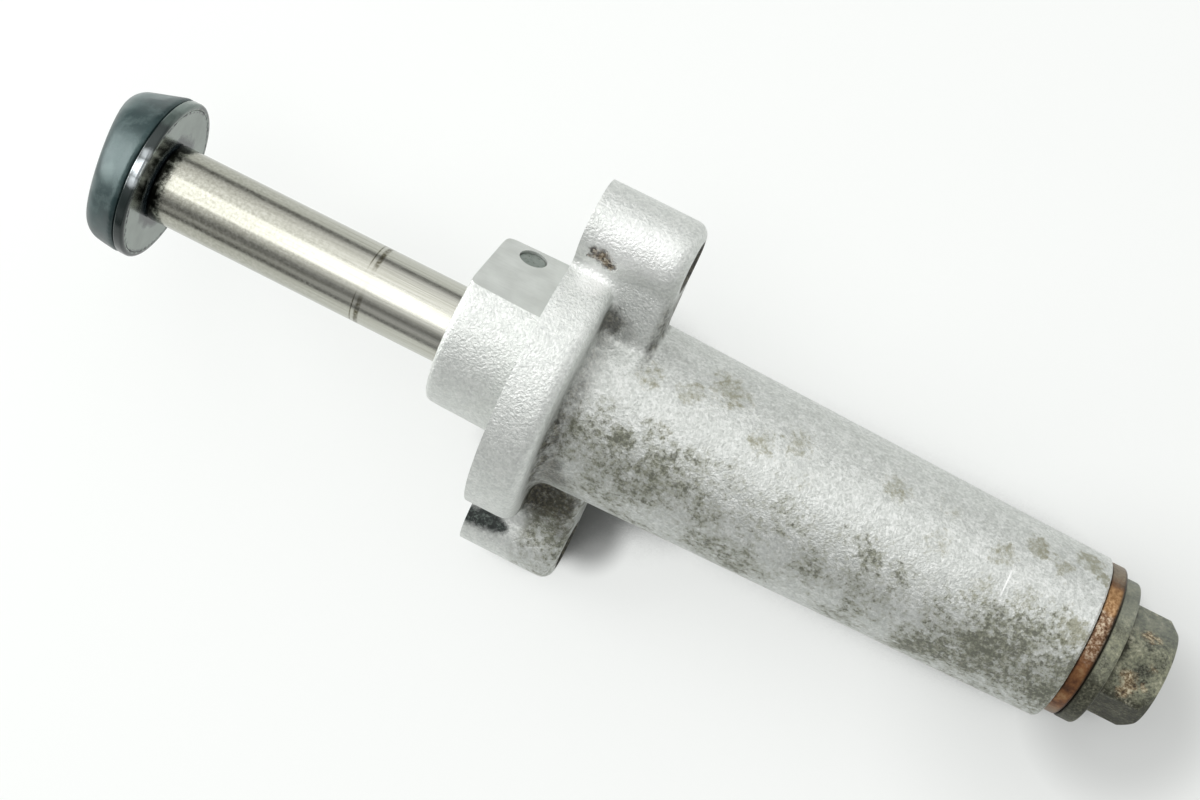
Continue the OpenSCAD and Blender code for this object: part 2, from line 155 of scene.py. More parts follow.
def cast_aluminium():
    """Aluminium cast in a mould and blasted: pale, dull, sparkling with fine grain, grimy on the barrel."""
    made, tree, place = new_finish("cast_aluminium")
    # Blast grain is about 0.4 mm, specks of dirt 0.9 mm, mottling 1.8 mm and patches of grime 8 mm
    grain, speckle, mottle, patch = [
        add(tree, "TexNoise", {"Vector": place, "Scale": 1 / size, "Detail": detail, "Roughness": harsh})
        for size, detail, harsh in ((0.36, 2.0, 0.6), (0.9, 4.0, 0.75), (1.8, 5.0, 0.75), (8.0, 5.0, 0.62))]
    crystal = add(tree, "TexVoronoi", {"Vector": place, "Scale": 1 / 0.45}, out="Color")
    ragged = warped(tree, place, 1.6, 5.0)
    along, beside, height = [add(tree, "SeparateXYZ", {0: place}, out=axis) for axis in "XYZ"]
    level = add(tree, "VectorMath", {0: place, 1: RISING}, out="Value", operation="DOT_PRODUCT")
    girth = axis_distance(tree, place)
    # Bare metal, brighter and darker by grain
    fleck = add(tree, "SeparateColor", {0: crystal})
    fleck = add(tree, "Math", {0: fleck, 1: 0.35, 2: grain}, operation="MULTIPLY_ADD")
    metal = add(tree, "ValToRGB", {"Fac": fleck}, stops=[
        (0.42, "#c8cbc8"), (0.68, "#d4d7d3"), (0.95, "#e1e3e0")])
    # The barrel and the lower ear are dull and stained, the rest is clean
    barrel = add(tree, "MapRange", {
        "Value": along, "From Min": 6.8, "From Max": 9.5}, interpolation_type="SMOOTHSTEP")
    round_part = add(tree, "MapRange", {"Value": girth, "From Min": 17.0, "From Max": 14.8})
    lower_ear = add(tree, "MapRange", {"Value": height, "From Min": -9.0, "From Max": -12.0})
    stained = add(tree, "Math", {0: round_part, 1: lower_ear}, operation="MAXIMUM")
    barrel = add(tree, "Math", {0: barrel, 1: stained}, operation="MULTIPLY")
    spread = add(tree, "Math", {0: mottle, 1: fleck}, operation="ADD")
    spread = add(tree, "Math", {0: spread, 1: 0.5}, operation="MULTIPLY")
    dull = add(tree, "ValToRGB", {"Fac": spread}, stops=[
        (0.42, "#b5b8b4"), (0.58, "#c9ccc8"), (0.74, "#dee0dd")])
    metal = add(tree, "Mix", {0: barrel, 6: metal, 7: dull}, out=2, data_type="RGBA")
    # Painted highlight: near-white metal on the upper ear and its corner with the flange
    painted_highlight = stain(tree, place, [
        (3.4, -6.0, 19.9, 2.4, 0.8), (5.5, -5.9, 26.0, 4.0, 0.5), (9.5, -5.8, 27.0, 3.5, 0.4)])
    metal = add(tree, "Mix", {0: painted_highlight, 6: metal, 7: linear("#f6f7f5")}, out=2, data_type="RGBA")
    # Thin pale oil film on the barrel's upper shoulder
    thin = stain(tree, ragged, [
        (15.8, -7.2, 11.4, 2.4, 0.7), (20.2, -11.2, 7.3, 1.8, 0.6), (21.5, -6.6, 11.6, 2.2, 0.75),
        (26.2, -3.4, 12.8, 3.6, 0.8), (32.7, -8.0, 10.4, 2.2, 0.75), (37.5, -5.9, 11.6, 2.6, 0.75),
        (40.0, -9.5, 8.8, 2.0, 0.4), (51.7, -5.0, 11.6, 2.4, 0.75), (59.3, -3.7, 11.9, 2.6, 0.45),
        (59.2, -8.4, 9.1, 2.2, 0.5), (67.5, -5.8, 10.8, 2.2, 0.8), (71.8, -2.3, 11.9, 2.2, 0.95),
        (75.5, -3.5, 11.5, 2.0, 0.75), (79.1, 0.0, 11.9, 2.6, 0.95), (81.0, -2.1, 11.7, 1.4, 1.0),
        (77.4, -8.8, 8.2, 2.4, 0.6), (66.8, -10.2, 6.7, 2.4, 0.7), (72.4, -9.3, 7.8, 2.4, 0.7),
        (79.8, -9.6, 7.0, 2.6, 1.0)])
    flaky = add(tree, "Math", {0: mottle, 1: 0.6, 2: speckle}, operation="MULTIPLY_ADD")
    thin = add(tree, "Math", {0: thin, 1: 0.55, 2: flaky}, operation="MULTIPLY_ADD")
    thin = add(tree, "MapRange", {
        "Value": thin, "From Min": 0.98, "From Max": 1.46, "To Max": 0.85}, interpolation_type="SMOOTHSTEP")
    thin = add(tree, "Math", {0: thin, 1: barrel}, operation="MULTIPLY")
    metal = add(tree, "Mix", {0: thin, 6: metal, 7: linear("#8f8e79")}, out=2, data_type="RGBA")
    # Olive oil film in patches over the barrel, thick where the photograph shows it
    low = add(tree, "MapRange", {
        "Value": level, "From Min": 10.5, "From Max": -4.0, "To Min": -0.4, "To Max": 0.06},
        interpolation_type="SMOOTHSTEP")
    thick = stain(tree, ragged, [
        (10.0, -13.6, 0.3, 4.0, 0.13), (16.0, -13.5, -0.5, 5.0, 0.13), (23.5, -13.3, 0.5, 5.5, 0.13),
        (16.2, -12.7, 4.6, 1.9, 0.28), (19.2, -11.0, 7.7, 2.2, 0.22), (27.2, -12.2, 5.1, 2.6, 0.1),
        (45.1, -12.8, 0.4, 3.0, 0.09), (51.8, -12.3, 2.6, 3.2, 0.13), (54.0, -12.4, -1.7, 3.5, 0.08),
        (62.5, -11.6, -4.2, 3.5, 0.16), (62.8, -11.8, 3.6, 3.0, 0.08), (65.2, -12.1, -2.1, 4.0, 0.2),
        (70.8, -12.0, -2.2, 3.5, 0.18), (76.4, -12.0, -1.0, 4.2, 0.12), (80.0, -11.3, -4.0, 3.0, 0.15),
        (79.0, -11.0, 3.6, 3.4, 0.1), (10.0, -5.1, -19.6, 4.0, 0.2), (13.2, -5.4, -22.0, 2.6, 0.2),
        (12.6, -5.1, -14.5, 3.0, 0.2), (6.5, -5.9, -24.8, 3.0, 0.1)])
    rear = add(tree, "MapRange", {"Value": along, "From Min": 55.0, "From Max": 80.0, "To Max": 0.09})
    blend = add(tree, "Math", {0: patch, 1: speckle}, operation="ADD")
    blend = add(tree, "Math", {0: blend, 1: 0.95, 2: -0.45}, operation="MULTIPLY_ADD")
    for part in (low, rear):
        blend = add(tree, "Math", {0: blend, 1: part}, operation="ADD")
    blend = add(tree, "Math", {0: thick, 1: 0.65, 2: blend}, operation="MULTIPLY_ADD")
    film = add(tree, "MapRange", {
        "Value": blend, "From Min": 0.5, "From Max": 0.78, "To Max": 0.9}, interpolation_type="SMOOTHSTEP")
    film = add(tree, "Math", {0: film, 1: barrel}, operation="MULTIPLY")
    tint = add(tree, "Math", {0: fleck, 1: 0.9, 2: blend}, operation="MULTIPLY_ADD")
    tint = add(tree, "Math", {0: tint, 1: 0.6}, operation="SUBTRACT")
    dirt = add(tree, "ValToRGB", {"Fac": tint}, stops=[
        (0.45, "#a6a798"), (0.68, "#7c7e6b"), (0.9, "#505240")])
    colour = add(tree, "Mix", {0: film, 6: metal, 7: dirt}, out=2, data_type="RGBA")
    # Dark dirt and painted shade in the corner behind the flange and between the ears and the barrel,
    # weaker higher up
    behind = add(tree, "MapRange", {
        "Value": along, "From Min": 10.8, "From Max": 7.6}, interpolation_type="SMOOTHSTEP")
    inward = add(tree, "MapRange", {"Value": girth, "From Min": 18.0, "From Max": 15.5})
    start = add(tree, "MapRange", {"Value": along, "From Min": 6.2, "From Max": 7.0})
    patchy = add(tree, "MapRange", {
        "Value": mottle, "From Min": 0.38, "From Max": 0.6, "To Min": 0.35, "To Max": 0.95})
    lighter = add(tree, "MapRange", {
        "Value": height, "From Min": 3.0, "From Max": 10.0, "To Min": 1.0, "To Max": 0.5})
    corner = behind
    for limit in (inward, start, patchy, lighter):
        corner = add(tree, "Math", {0: corner, 1: limit}, operation="MULTIPLY")
    # Painted shade inside the bolt holes and along the upper ear's rounded rear edge down to the barrel
    folded = add(tree, "Mapping", {"Vector": place, "Scale": (0.0, 1.0, 1.0)})
    folded = add(tree, "VectorMath", {0: folded}, operation="ABSOLUTE")
    from_hole = add(tree, "VectorMath", {
        0: folded, 1: (0.0, 0.0, EAR_Z)}, out="Value", operation="DISTANCE")
    holes = add(tree, "MapRange", {"Value": from_hole, "From Min": 4.1, "From Max": 3.6, "To Max": 0.95})
    edge = add(tree, "MapRange", {"Value": along, "From Min": 13.3, "From Max": 14.1})
    above = add(tree, "MapRange", {"Value": height, "From Min": 11.0, "From Max": 13.5})
    below = add(tree, "MapRange", {"Value": height, "From Min": 22.5, "From Max": 19.0})
    ear_end = add(tree, "MapRange", {"Value": along, "From Min": 15.0, "From Max": 14.6})
    for limit in (ear_end, above, below, patchy):
        edge = add(tree, "Math", {0: edge, 1: limit}, operation="MULTIPLY")
    packed_dirt_and_painted_shade = stain(tree, ragged, [
        (8.4, -5.3, -15.0, 4.4, 1.0), (11.5, -5.1, -15.5, 3.2, 0.9), (7.6, -7.5, -16.0, 2.6, 0.8),
        (13.5, -5.1, -19.0, 2.2, 0.5), (8.0, -5.6, 15.2, 2.4, 0.8), (10.0, -5.1, 14.6, 1.8, 0.3),
        (9.5, -12.2, -7.0, 3.0, 0.7), (8.4, -13.0, -4.5, 2.6, 0.7)])
    broken = add(tree, "MapRange", {
        "Value": speckle, "From Min": 0.3, "From Max": 0.5, "To Min": 0.7, "To Max": 1.0})
    packed_dirt_and_painted_shade = add(tree, "Math", {0: packed_dirt_and_painted_shade, 1: broken}, operation="MULTIPLY")
    for part in (holes, edge, packed_dirt_and_painted_shade):
        corner = add(tree, "Math", {0: corner, 1: part}, operation="MAXIMUM")
    dirt_and_painted_shade_colour = add(tree, "ValToRGB", {"Fac": fleck}, stops=[
        (0.45, "#1d1c11"), (0.68, "#333122"), (0.95, "#66634f")])
    colour = add(tree, "Mix", {0: corner, 6: colour, 7: dirt_and_painted_shade_colour}, out=2, data_type="RGBA")
    # Black residue on the lower ear, and the brown corrosion pit on the upper one
    tight = warped(tree, place, 0.6, 1.5)
    black = stain(tree, tight, [
        (0.4, -5.6, -23.6, 1.8, 1.0), (2.1, -5.6, -23.4, 1.9, 1.0), (3.9, -5.6, -23.2, 1.8, 1.0),
        (5.2, -5.6, -23.2, 1.1, 1.0), (2.6, -5.3, -22.0, 1.6, 1.0)])
    soot = add(tree, "ValToRGB", {"Fac": fleck}, stops=[
        (0.5, "#1a201d"), (0.75, "#2b322f"), (0.92, "#5a635d")])
    colour = add(tree, "Mix", {0: black, 6: colour, 7: soot}, out=2, data_type="RGBA")
    pitted = stain(tree, tight, [
        (3.5, -5.8, 23.7, 1.15, 1.0), (4.3, -5.6, 23.2, 1.1, 1.0), (4.9, -5.5, 22.8, 0.8, 1.0),
        (2.1, -5.8, 24.0, 0.7, 0.9), (2.6, -5.7, 23.4, 0.7, 0.9), (1.8, -5.6, 23.0, 0.4, 0.8)])
    rust = add(tree, "ValToRGB", {"Fac": fleck}, stops=[
        (0.5, "#1d1812"), (0.62, "#4c4032"), (0.75, "#7d705a"), (0.9, "#b4ad9e")])
    colour = add(tree, "Mix", {0: pitted, 6: colour, 7: rust}, out=2, data_type="RGBA")
    # One fine bright scratch round the barrel, 4 mm long
    aside = add(tree, "Math", {0: along, 1: 69.5}, operation="SUBTRACT")
    aside = add(tree, "Math", {0: aside}, operation="ABSOLUTE")
    scratch = add(tree, "MapRange", {"Value": aside, "From Min": 0.16, "From Max": 0.06, "To Max": 0.75})
    top_end = add(tree, "MapRange", {"Value": height, "From Min": 10.1, "From Max": 9.8})
    low_end = add(tree, "MapRange", {"Value": height, "From Min": 6.9, "From Max": 7.4})
    near_side = add(tree, "Math", {0: beside, 1: 0.0}, operation="LESS_THAN")
    for limit in (top_end, low_end, near_side):
        scratch = add(tree, "Math", {0: scratch, 1: limit}, operation="MULTIPLY")
    colour = add(tree, "Mix", {0: scratch, 6: colour, 7: linear("#f2f3f1")}, out=2, data_type="RGBA")
    # Dirt, oxide and the painted shade take the metal's shine
    oxide = add(tree, "Math", {0: barrel, 1: 0.15}, operation="MULTIPLY")
    soil_and_painted_shade = film
    for part in (corner, black, pitted, oxide):
        soil_and_painted_shade = add(tree, "Math", {0: soil_and_painted_shade, 1: part}, operation="MAXIMUM")
    shine = add(tree, "MapRange", {"Value": soil_and_painted_shade, "To Min": 0.75, "To Max": 0.15})
    rough = add(tree, "MapRange", {
        "Value": mottle, "From Min": 0.3, "From Max": 0.7, "To Min": 0.4, "To Max": 0.56})
    relief = add(tree, "Math", {0: mottle, 1: 0.25, 2: grain}, operation="MULTIPLY_ADD")
    relief = add(tree, "Math", {0: pitted, 1: -2.5, 2: relief}, operation="MULTIPLY_ADD")
    bump = add(tree, "Bump", {"Height": relief, "Strength": 1.0, "Distance": 0.16 * MM})
    close_finish(tree, add(tree, "BsdfPrincipled", {
        "Base Color": colour, "Metallic": shine, "Roughness": rough, "Normal": bump}))
    return made


def machined_aluminium():
    """Aluminium cut by a tool: even satin grey with the tool's fine lines."""
    made, tree, place = new_finish("machined_aluminium")
    # Tool lines 0.3 mm apart, drawn out along the cut
    lines = add(tree, "Mapping", {"Vector": place, "Scale": (0.4, 1 / 0.3, 1 / 0.3)})
    marks = add(tree, "TexNoise", {"Vector": lines, "Scale": 1.0, "Detail": 3.0})
    cloud = add(tree, "TexNoise", {"Vector": place, "Scale": 1 / 3.0, "Detail": 4.0})
    shade = add(tree, "Math", {0: marks, 1: 0.4, 2: cloud}, operation="MULTIPLY_ADD")
    colour = add(tree, "ValToRGB", {"Fac": shade}, stops=[(0.5, "#c6c9c5"), (0.9, "#d4d7d3")])
    bump = add(tree, "Bump", {"Height": marks, "Strength": 0.1, "Distance": 0.02 * MM})
    close_finish(tree, add(tree, "BsdfPrincipled", {
        "Base Color": colour, "Metallic": 0.8, "Roughness": 0.52, "Normal": bump}))
    return made


def polished_steel():
    """Hard steel polished by sliding: long bands of reflection, brown oil varnish towards the pad."""
    made, tree, place = new_finish("polished_steel")
    along = add(tree, "SeparateXYZ", {0: place}, out="X")
    # Sliding streaks 0.4 mm wide and 20 mm long, specks of varnish 0.45 mm
    drawn = add(tree, "Mapping", {"Vector": place, "Scale": (1 / 20.0, 1 / 0.4, 1 / 0.4)})
    streak = add(tree, "TexNoise", {"Vector": drawn, "Scale": 1.0, "Detail": 4.0, "Roughness": 0.65})
    speck = add(tree, "TexNoise", {"Vector": place, "Scale": 1 / 0.45, "Detail": 4.0, "Roughness": 0.7})
    cloud = add(tree, "TexNoise", {"Vector": place, "Scale": 1 / 2.5, "Detail": 3.0})
    wander = add(tree, "Math", {0: speck, 1: 3.0, 2: along}, operation="MULTIPLY_ADD")
    wander = add(tree, "Math", {0: cloud, 1: 4.0, 2: wander}, operation="MULTIPLY_ADD")
    # The dark end by the plate is burnt oil with a painted reflection of the black plate and pad; it is
    # painted narrower on the side that faces the camera
    facing = add(tree, "VectorMath", {0: place, 1: FACING}, out="Value", operation="DOT_PRODUCT")
    narrowed_facing_camera = add(tree, "MapRange", {"Value": facing, "From Min": 3.2, "From Max": 5.6, "To Max": 0.7})
    narrowed_facing_camera = add(tree, "Math", {0: narrowed_facing_camera, 1: wander}, operation="ADD")
    burnt_oil_and_reflection = add(tree, "MapRange", {
        "Value": narrowed_facing_camera, "From Min": -52.2, "From Max": -53.6}, interpolation_type="SMOOTHSTEP")
    film = add(tree, "MapRange", {"Value": wander, "From Min": -14.0, "From Max": -46.0, "To Max": 0.7})
    steel = add(tree, "ValToRGB", {"Fac": streak}, stops=[(0.3, "#a9a99e"), (0.6, "#c2c2b9")])
    tan = add(tree, "ValToRGB", {"Fac": speck}, stops=[
        (0.34, "#88877b"), (0.5, "#a1a195"), (0.64, "#b6b6ac")])
    colour = add(tree, "Mix", {0: film, 6: steel, 7: tan}, out=2, data_type="RGBA")
    # Witness ring where the rod has rested, with a finer one beside it
    level = add(tree, "VectorMath", {0: place, 1: RISING}, out="Value", operation="DOT_PRODUCT")
    level = add(tree, "Math", {0: level}, operation="ABSOLUTE")
    worn = add(tree, "MapRange", {
        "Value": level, "From Min": 1.6, "From Max": 3.0, "To Min": 0.08, "To Max": 1.0})
    part = add(tree, "MapRange", {
        "Value": speck, "From Min": 0.36, "From Max": 0.56, "To Min": 0.25, "To Max": 0.95})
    worn = add(tree, "Math", {0: worn, 1: part}, operation="MULTIPLY")
    for middle, width in ((-25.1, 0.45), (-26.0, 0.12)):
        off = add(tree, "Math", {0: along, 1: middle}, operation="SUBTRACT")
        off = add(tree, "Math", {0: off}, operation="ABSOLUTE")
        ring = add(tree, "MapRange", {"Value": off, "From Min": width, "From Max": width * 0.4})
        ring = add(tree, "Math", {0: ring, 1: worn}, operation="MULTIPLY")
        colour = add(tree, "Mix", {0: ring, 6: colour, 7: linear("#57533f")}, out=2, data_type="RGBA")
    # Near-black end by the plate: burnt oil and painted reflection
    colour = add(tree, "Mix", {0: burnt_oil_and_reflection, 6: colour, 7: linear("#191a15")}, out=2, data_type="RGBA")
    rough = add(tree, "MapRange", {
        "Value": speck, "From Min": 0.3, "From Max": 0.7, "To Min": 0.14, "To Max": 0.27})
    bump = add(tree, "Bump", {"Height": streak, "Strength": 0.12, "Distance": 0.01 * MM})
    close_finish(tree, add(tree, "BsdfPrincipled", {
        "Base Color": colour, "Metallic": 1.0, "Roughness": rough, "Normal": bump}))
    return made


def blackened_steel():
    """Stamped steel with a thin oiled black skin: mirror-smooth back, scuffed to dashes round its edge."""
    made, tree, place = new_finish("blackened_steel")
    radius = axis_distance(tree, place)
    speck = add(tree, "TexNoise", {"Vector": place, "Scale": 1 / 0.8, "Detail": 3.0})
    cloud = add(tree, "TexNoise", {"Vector": place, "Scale": 1 / 4.0, "Detail": 4.0})
    rim = add(tree, "MapRange", {"Value": radius, "From Min": 11.25, "From Max": 11.4})
    near = add(tree, "MapRange", {"Value": radius, "From Min": 10.6, "From Max": 10.8})
    scuffs_and_reflection = add(tree, "MapRange", {"Value": speck, "From Min": 0.5, "From Max": 0.56})
    scuffs_and_reflection = add(tree, "Math", {0: scuffs_and_reflection, 1: near}, operation="MULTIPLY")
    scuffs_and_reflection = add(tree, "Math", {0: scuffs_and_reflection, 1: rim}, operation="SUBTRACT", use_clamp=True)
    # Burnt oil round the foot of the rod, with a painted reflection of the rod's dark end on the
    # mirror-smooth back
    foot_oil_and_reflection = add(tree, "Math", {0: cloud, 1: 3.0, 2: radius}, operation="MULTIPLY_ADD")
    foot_oil_and_reflection = add(tree, "MapRange", {"Value": foot_oil_and_reflection, "From Min": 9.0, "From Max": 8.0})
    scuffs_and_reflection = add(tree, "Math", {0: scuffs_and_reflection, 1: foot_oil_and_reflection}, operation="MAXIMUM")
    skin = add(tree, "ValToRGB", {"Fac": cloud}, stops=[(0.35, "#717973"), (0.65, "#818983")])
    colour = add(tree, "Mix", {0: rim, 6: skin, 7: linear("#222b2a")}, out=2, data_type="RGBA")
    # Dark scuff dashes, and the painted reflection round the rod's foot
    colour = add(tree, "Mix", {0: scuffs_and_reflection, 6: colour, 7: linear("#20272a")}, out=2, data_type="RGBA")
    # Painted light: the rim paler on its upper side, where the lamp falls
    painted_light_on_rim_top = stain(tree, warped(tree, place, 0.8, 1.2), [
        (-59.2, 0.8, 11.9, 2.6, 0.75), (-59.2, 3.6, 11.3, 2.4, 0.8), (-59.2, -2.4, 11.6, 2.0, 0.45)])
    painted_light_on_rim_top = add(tree, "Math", {0: painted_light_on_rim_top, 1: rim}, operation="MULTIPLY")
    colour = add(tree, "Mix", {0: painted_light_on_rim_top, 6: colour, 7: linear("#6f7d77")}, out=2, data_type="RGBA")
    shine = add(tree, "MapRange", {"Value": rim, "To Min": 1.0, "To Max": 0.25})
    shine = add(tree, "Math", {0: shine, 1: scuffs_and_reflection}, operation="SUBTRACT", use_clamp=True)
    # Painted highlight: bright steel colour on the rim's edge that faces up, where the lamp's highlight
    # falls
    bright_patch = stain(tree, warped(tree, place, 0.8, 1.2), [
        (-58.8, -10.0, 6.4, 1.4, 0.9), (-58.8, -11.0, 4.6, 0.9, 0.7), (-58.8, -8.6, 8.1, 0.9, 0.5)])
    bright_patch = add(tree, "Math", {0: bright_patch, 1: rim}, operation="MULTIPLY")
    colour = add(tree, "Mix", {0: bright_patch, 6: colour, 7: linear("#bcc2c5")}, out=2, data_type="RGBA")
    shine = add(tree, "Math", {0: shine, 1: bright_patch}, operation="MAXIMUM")
    rough = add(tree, "MapRange", {
        "Value": cloud, "From Min": 0.3, "From Max": 0.7, "To Min": 0.12, "To Max": 0.22})
    close_finish(tree, add(tree, "BsdfPrincipled", {
        "Base Color": colour, "Metallic": shine, "Roughness": rough}))
    return made


def black_rubber():
    """Moulded nitrile rubber, oil-polished: deep greenish black with a broad soft shine."""
    made, tree, place = new_finish("black_rubber")
    cloud = add(tree, "TexNoise", {"Vector": place, "Scale": 1 / 4.0, "Detail": 4.0})
    grain = add(tree, "TexNoise", {"Vector": place, "Scale": 1 / 0.35, "Detail": 2.0})
    colour = add(tree, "ValToRGB", {"Fac": cloud}, stops=[(0.3, "#102022"), (0.7, "#1d3031")])
    # Grey bloom in blotches of 2 mm, and a painted highlight along the upper edge and on the middle of the
    # near side
    blotch = add(tree, "TexNoise", {"Vector": place, "Scale": 1 / 2.0, "Detail": 5.0, "Roughness": 0.7})
    bloom_and_highlight = add(tree, "MapRange", {"Value": blotch, "From Min": 0.5, "From Max": 0.75, "To Max": 0.35})
    painted_pad_highlight = stain(tree, warped(tree, place, 1.5, 2.0), [
        (-65.8, 2.6, 9.7, 2.6, 0.55), (-63.6, 2.8, 10.7, 2.2, 0.5), (-66.0, -0.6, 9.4, 2.2, 0.35),
        (-63.2, -10.0, 3.4, 1.6, 0.3), (-64.6, -9.4, 0.6, 1.4, 0.25)])
    bloom_and_highlight = add(tree, "Math", {0: bloom_and_highlight, 1: painted_pad_highlight}, operation="MAXIMUM")
    colour = add(tree, "Mix", {0: bloom_and_highlight, 6: colour, 7: linear("#6a7876")}, out=2, data_type="RGBA")
    rough = add(tree, "MapRange", {
        "Value": blotch, "From Min": 0.3, "From Max": 0.7, "To Min": 0.28, "To Max": 0.46})
    bump = add(tree, "Bump", {"Height": grain, "Strength": 0.12, "Distance": 0.03 * MM})
    close_finish(tree, add(tree, "BsdfPrincipled", {
        "Base Color": colour, "Roughness": rough, "Specular IOR Level": 0.62,
        "Specular Tint": linear("#cfe8e6"), "Normal": bump}))
    return made


def plain_metal(name, codes, rough, size):
    """Metal of one inner piece: light and dark of its colour in grains of a real size, and its polish."""
    made, tree, place = new_finish(name)
    grain = add(tree, "TexNoise", {"Vector": place, "Scale": 1 / size, "Detail": 4.0, "Roughness": 0.6})
    colour = add(tree, "ValToRGB", {"Fac": grain}, stops=[(0.3, codes[0]), (0.7, codes[1])])
    polish = add(tree, "MapRange", {
        "Value": grain, "From Min": 0.3, "From Max": 0.7, "To Min": rough * 0.8, "To Max": rough * 1.3})
    bump = add(tree, "Bump", {"Height": grain, "Strength": 0.2, "Distance": 0.01 * MM})
    close_finish(tree, add(tree, "BsdfPrincipled", {
        "Base Color": colour, "Metallic": 1.0, "Roughness": polish, "Normal": bump}))
    return made


def copper():
    """Soft copper, tarnished: orange-brown with dark blotches, pale rubbed specks and a grey end."""
    made, tree, place = new_finish("copper")
    blotch = add(tree, "TexNoise", {"Vector": place, "Scale": 1 / 2.4, "Detail": 5.0, "Roughness": 0.72})
    fine = add(tree, "TexNoise", {"Vector": place, "Scale": 1 / 0.5, "Detail": 3.0, "Roughness": 0.7})
    ragged = warped(tree, place, 1.2, 3.0)
    colour = add(tree, "ValToRGB", {"Fac": blotch}, stops=[
        (0.3, "#463427"), (0.45, "#6f4b34"), (0.56, "#8a6140"), (0.68, "#a07e5a")])
    # Pale speckled stretch towards the camera, grey film at the ends
    pale = stain(tree, ragged, [
        (83.4, -6.0, 9.6, 2.6, 1.0), (83.4, -9.3, 6.2, 2.4, 0.8), (83.4, -7.6, 8.0, 2.2, 1.0)])
    worn = add(tree, "ValToRGB", {"Fac": fine}, stops=[
        (0.36, "#4a3524"), (0.5, "#836750"), (0.64, "#cfc0a8")])
    colour = add(tree, "Mix", {0: pale, 6: colour, 7: worn}, out=2, data_type="RGBA")
    bare = stain(tree, ragged, [(83.4, -3.4, 10.9, 2.0, 0.9), (83.4, -4.8, 10.2, 1.4, 0.8)])
    orange = add(tree, "ValToRGB", {"Fac": fine}, stops=[(0.36, "#8f6a45"), (0.64, "#c69f72")])
    colour = add(tree, "Mix", {0: bare, 6: colour, 7: orange}, out=2, data_type="RGBA")
    grey = stain(tree, ragged, [(83.4, 2.5, 11.4, 3.6, 0.85), (83.4, -8.0, -7.6, 3.0, 0.55)])
    ash = add(tree, "ValToRGB", {"Fac": fine}, stops=[(0.35, "#6b6152"), (0.65, "#97907f")])
    colour = add(tree, "Mix", {0: grey, 6: colour, 7: ash}, out=2, data_type="RGBA")
    # Painted shade in the joint with the bolt's collar
    along = add(tree, "SeparateXYZ", {0: place}, out="X")
    joint = add(tree, "MapRange", {"Value": along, "From Min": 84.05, "From Max": 84.45, "To Max": 0.9})
    colour = add(tree, "Mix", {0: joint, 6: colour, 7: linear("#1f1a14")}, out=2, data_type="RGBA")
    rough = add(tree, "MapRange", {
        "Value": fine, "From Min": 0.3, "From Max": 0.7, "To Min": 0.34, "To Max": 0.6})
    height = add(tree, "Math", {0: fine, 1: 0.5, 2: blotch}, operation="MULTIPLY_ADD")
    bump = add(tree, "Bump", {"Height": height, "Strength": 0.6, "Distance": 0.15 * MM})
    close_finish(tree, add(tree, "BsdfPrincipled", {
        "Base Color": colour, "Metallic": 0.85, "Roughness": rough, "Normal": bump}))
    return made


